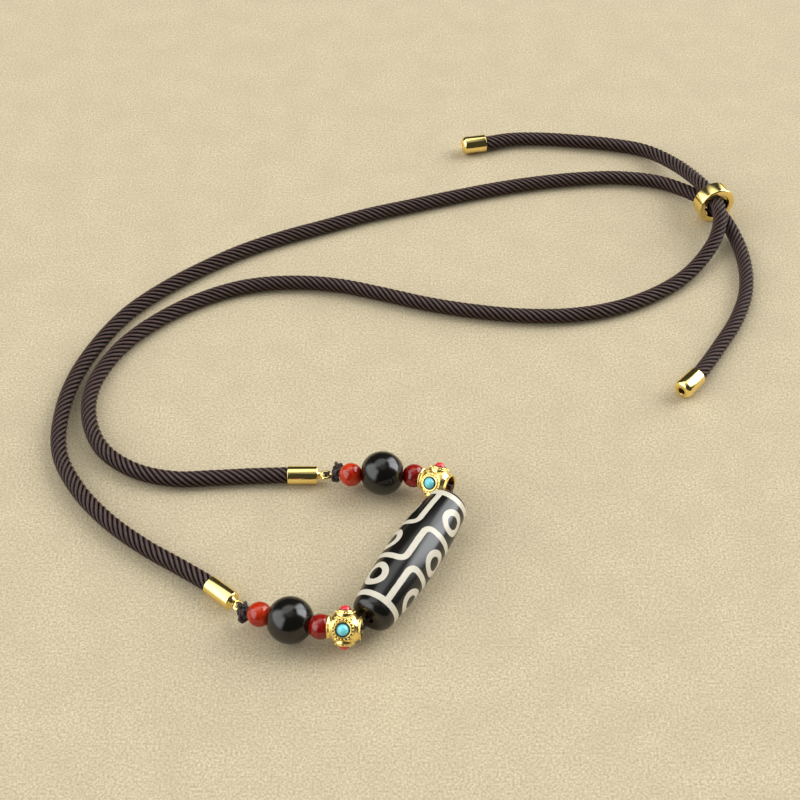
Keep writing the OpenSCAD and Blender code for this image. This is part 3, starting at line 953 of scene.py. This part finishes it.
def eye_loop(ferrule, knot):
    """From beside the knot, round the outer wire of the ferrule's eye and back."""
    clearance, knot_gap, shortest = 0.1, 0.7, 0.1
    wire = along(ferrule, EYE_AT + EYE_R)
    up = Vector((0, 0, 1))
    r = EYE_WIRE_R + THREAD_R + clearance
    way = Vector((knot[0] - wire.x, knot[1] - wire.y, 0))
    leg = max(shortest, way.length - KNOT_CORE_R - knot_gap) * way.normalized()
    half_turn = [wire + r * (math.cos(a) * up - math.sin(a) * axis_of(ferrule))
                 for a in np.linspace(0, math.pi, 13)]
    return [wire + r * up + leg] + half_turn + [wire - r * up + leg]


def thread_yarn(path, radius=THREAD_R):
    return Yarn(path, running_frames(path), [(radius, radius)] * len(path), THREAD_STRANDS,
                THREAD_LEAD, THREAD_DEPTH, THREAD_STRAND_POINTS)


def densified(path, step=0.4):
    """The same straight runs, cut into short steps."""
    points = []
    for a, b in zip(path, path[1:]):
        count = max(1, round((b - a).length / step))
        points += [a.lerp(b, k / count) for k in range(count)]
    return points + [path[-1]]


def joined_yarns(yarns):
    """One yarn out of several, each of which keeps its own twist."""
    first = yarns[0]
    for yarn in yarns[1:]:
        start = len(first.points)
        first.faces += [tuple(start + i for i in face) for face in yarn.faces]
        first.points += yarn.points
        first.valley += yarn.valley
        first.across += yarn.across
        first.along += yarn.along
    return first


def lobe_path(centre, lie, turn):
    """A closed winding of thread, about as round as a small ball."""
    steps = 90
    frame_turn = lie.to_track_quat("Z", "Y").to_matrix() @ Matrix.Rotation(turn, 3, "Z")
    path = []
    for k in range(steps + 1):
        a = 2 * math.pi * k / steps
        r = LOBE_RING_R + LOBE_WAVE * math.cos(3 * a)
        point = Vector((r * math.cos(2 * a), r * math.sin(2 * a),
                        LOBE_WAVE * LOBE_HEIGHT * math.sin(3 * a)))
        path.append(centre + frame_turn @ point)
    return path


def core_path(place):
    """Turns of thread round the hole between the two lobes."""
    side = axis_of(place).orthogonal().normalized()
    over = axis_of(place).cross(side)
    steps = 72
    path = []
    for k in range(steps + 1):
        t = k / steps
        a = 2 * math.pi * CORE_TURNS * t
        across = CORE_WINDING_R * (math.cos(a) * side + math.sin(a) * over)
        path.append(along(place, CORE_HALF * (2 * t - 1)) + across)
    return path


def make_knots_and_thread():
    # From valley 0.2 to 0.7 the thread darkens with painted shade
    material = fibre_material("thread", colour(0.03, 0.014, 0.014), colour(0.13, 0.075, 0.078),
                              0.16, 0.8, (0.2, 0.7), 0.3, 0.7)
    for side, place in (("near", NEAR_KNOT_AT), ("far", FAR_KNOT_AT)):
        centre = centre_of(place)
        yarns = [thread_yarn(core_path(place), CORE_YARN_R)]
        for sign, turn in LOBE_TURNS:
            way = sign * KNOT_LIE[side]
            path = lobe_path(centre + KNOT_REACH * way, axis_of(place) + LOBE_LEAN * way, turn)
            yarns.append(thread_yarn(path, LOBE_YARN_R))
        yarn = joined_yarns(yarns)
        piece = add_piece(f"tied_knot_{side}", yarn, IN_METRES, "thread", material, f"knot_{side}")
        yarn.add_to(piece.data)
    runs = [thread_yarn(densified(thread_path())),
            thread_yarn(densified(eye_loop(NEAR_FERRULE_AT, NEAR_KNOT), 0.2)),
            thread_yarn(densified(eye_loop(FAR_FERRULE_AT, FAR_KNOT), 0.2))]
    yarn = joined_yarns(runs)
    piece = add_piece("bead_thread", yarn, IN_METRES, "thread", material, "thread")
    yarn.add_to(piece.data)


# Floor and light

# In metres: half the floor's width, and how far it lies below the necklace
FLOOR_HALF = 3.0
FLOOR_DROP = 0.00002


def floor_material():
    """Pale fine-grained stone, with soft blotches and small darker grains."""
    s = new_material("floor", Roughness=0.85)
    grain = s.spread(s.noise(1900, 3, 0.8), 0.35, 0.65)
    stone = s.blend(grain, colour(0.385, 0.31, 0.188), colour(0.715, 0.605, 0.41))
    blotch = s.spread(s.noise(95, 5, 0.65), 0.35, 0.65)
    s.join(s.blend(s.math("MULTIPLY", blotch, 0.3), stone, colour(0.42, 0.34, 0.225)),
           "Base Color")
    return s.owner


def make_floor():
    corners = [(x * FLOOR_HALF, y * FLOOR_HALF, 0) for x, y in ((-1, -1), (1, -1), (1, 1), (-1, 1))]
    mesh = bpy.data.meshes.new("floor")
    mesh.from_pydata(corners, [], [(0, 1, 2, 3)])
    mesh.materials.append(floor_material())
    floor = bpy.data.objects.new("floor", mesh)
    floor.location.z = -FLOOR_DROP
    bpy.context.scene.collection.objects.link(floor)


# Soft patches of light: azimuth clockwise from straight away, and elevation, each as its
# middle, half its width and how far its edge fades, in degrees; then radiance and tint
LIGHTS = [((0, 180, 1), (90, 20, 8), 0.5, (0.98, 1.0, 0.98)),
          ((-32, 66, 14), (66, 17, 7), 1.8, (0.98, 1.0, 0.98)),
          ((-104, 40, 9), (31, 26, 11), 2.9, (0.96, 0.99, 1.0)),
          ((49, 18, 8), (31, 21, 7), 5.2, (0.97, 0.99, 1.0)),
          ((74, 15, 4), (30, 23, 7), 6.8, (0.97, 0.99, 1.0))]
AMBIENT = colour(0.0475, 0.05, 0.045)


def patch(s, angle, middle, half, fade):
    """1 inside a range of angles and 0 outside, with a soft edge."""
    apart = s.math("ABSOLUTE", s.math("SUBTRACT", angle, math.radians(middle)))
    return s.spread(apart, math.radians(half - fade), math.radians(half + fade), 1.0, 0.0,
                    "SMOOTHSTEP")


def make_lights():
    """A dark room with large soft lights at both sides, overhead and high at the back."""
    world = bpy.data.worlds.new("room")
    bpy.context.scene.world = world
    s = Shader(world, "Background")
    parts = s.add("SeparateXYZ", {0: s.add("TexCoord").outputs["Generated"]})
    azimuth = s.math("ARCTAN2", parts.outputs["X"], parts.outputs["Y"])
    elevation = s.math("ARCSINE", parts.outputs["Z"])
    light = AMBIENT
    for around, up, radiance, tint in LIGHTS:
        amount = s.math("MULTIPLY", patch(s, azimuth, *around), patch(s, elevation, *up))
        light = s.blend(amount, light, colour(*[radiance * part for part in tint]))
    s.join(light, "Color")
    bpy.context.scene.view_settings.view_transform = "Standard"


make_camera()
make_cords(make_metal())
make_barrel()
make_round_beads()
make_gold_beads()
make_knots_and_thread()
make_floor()
make_lights()
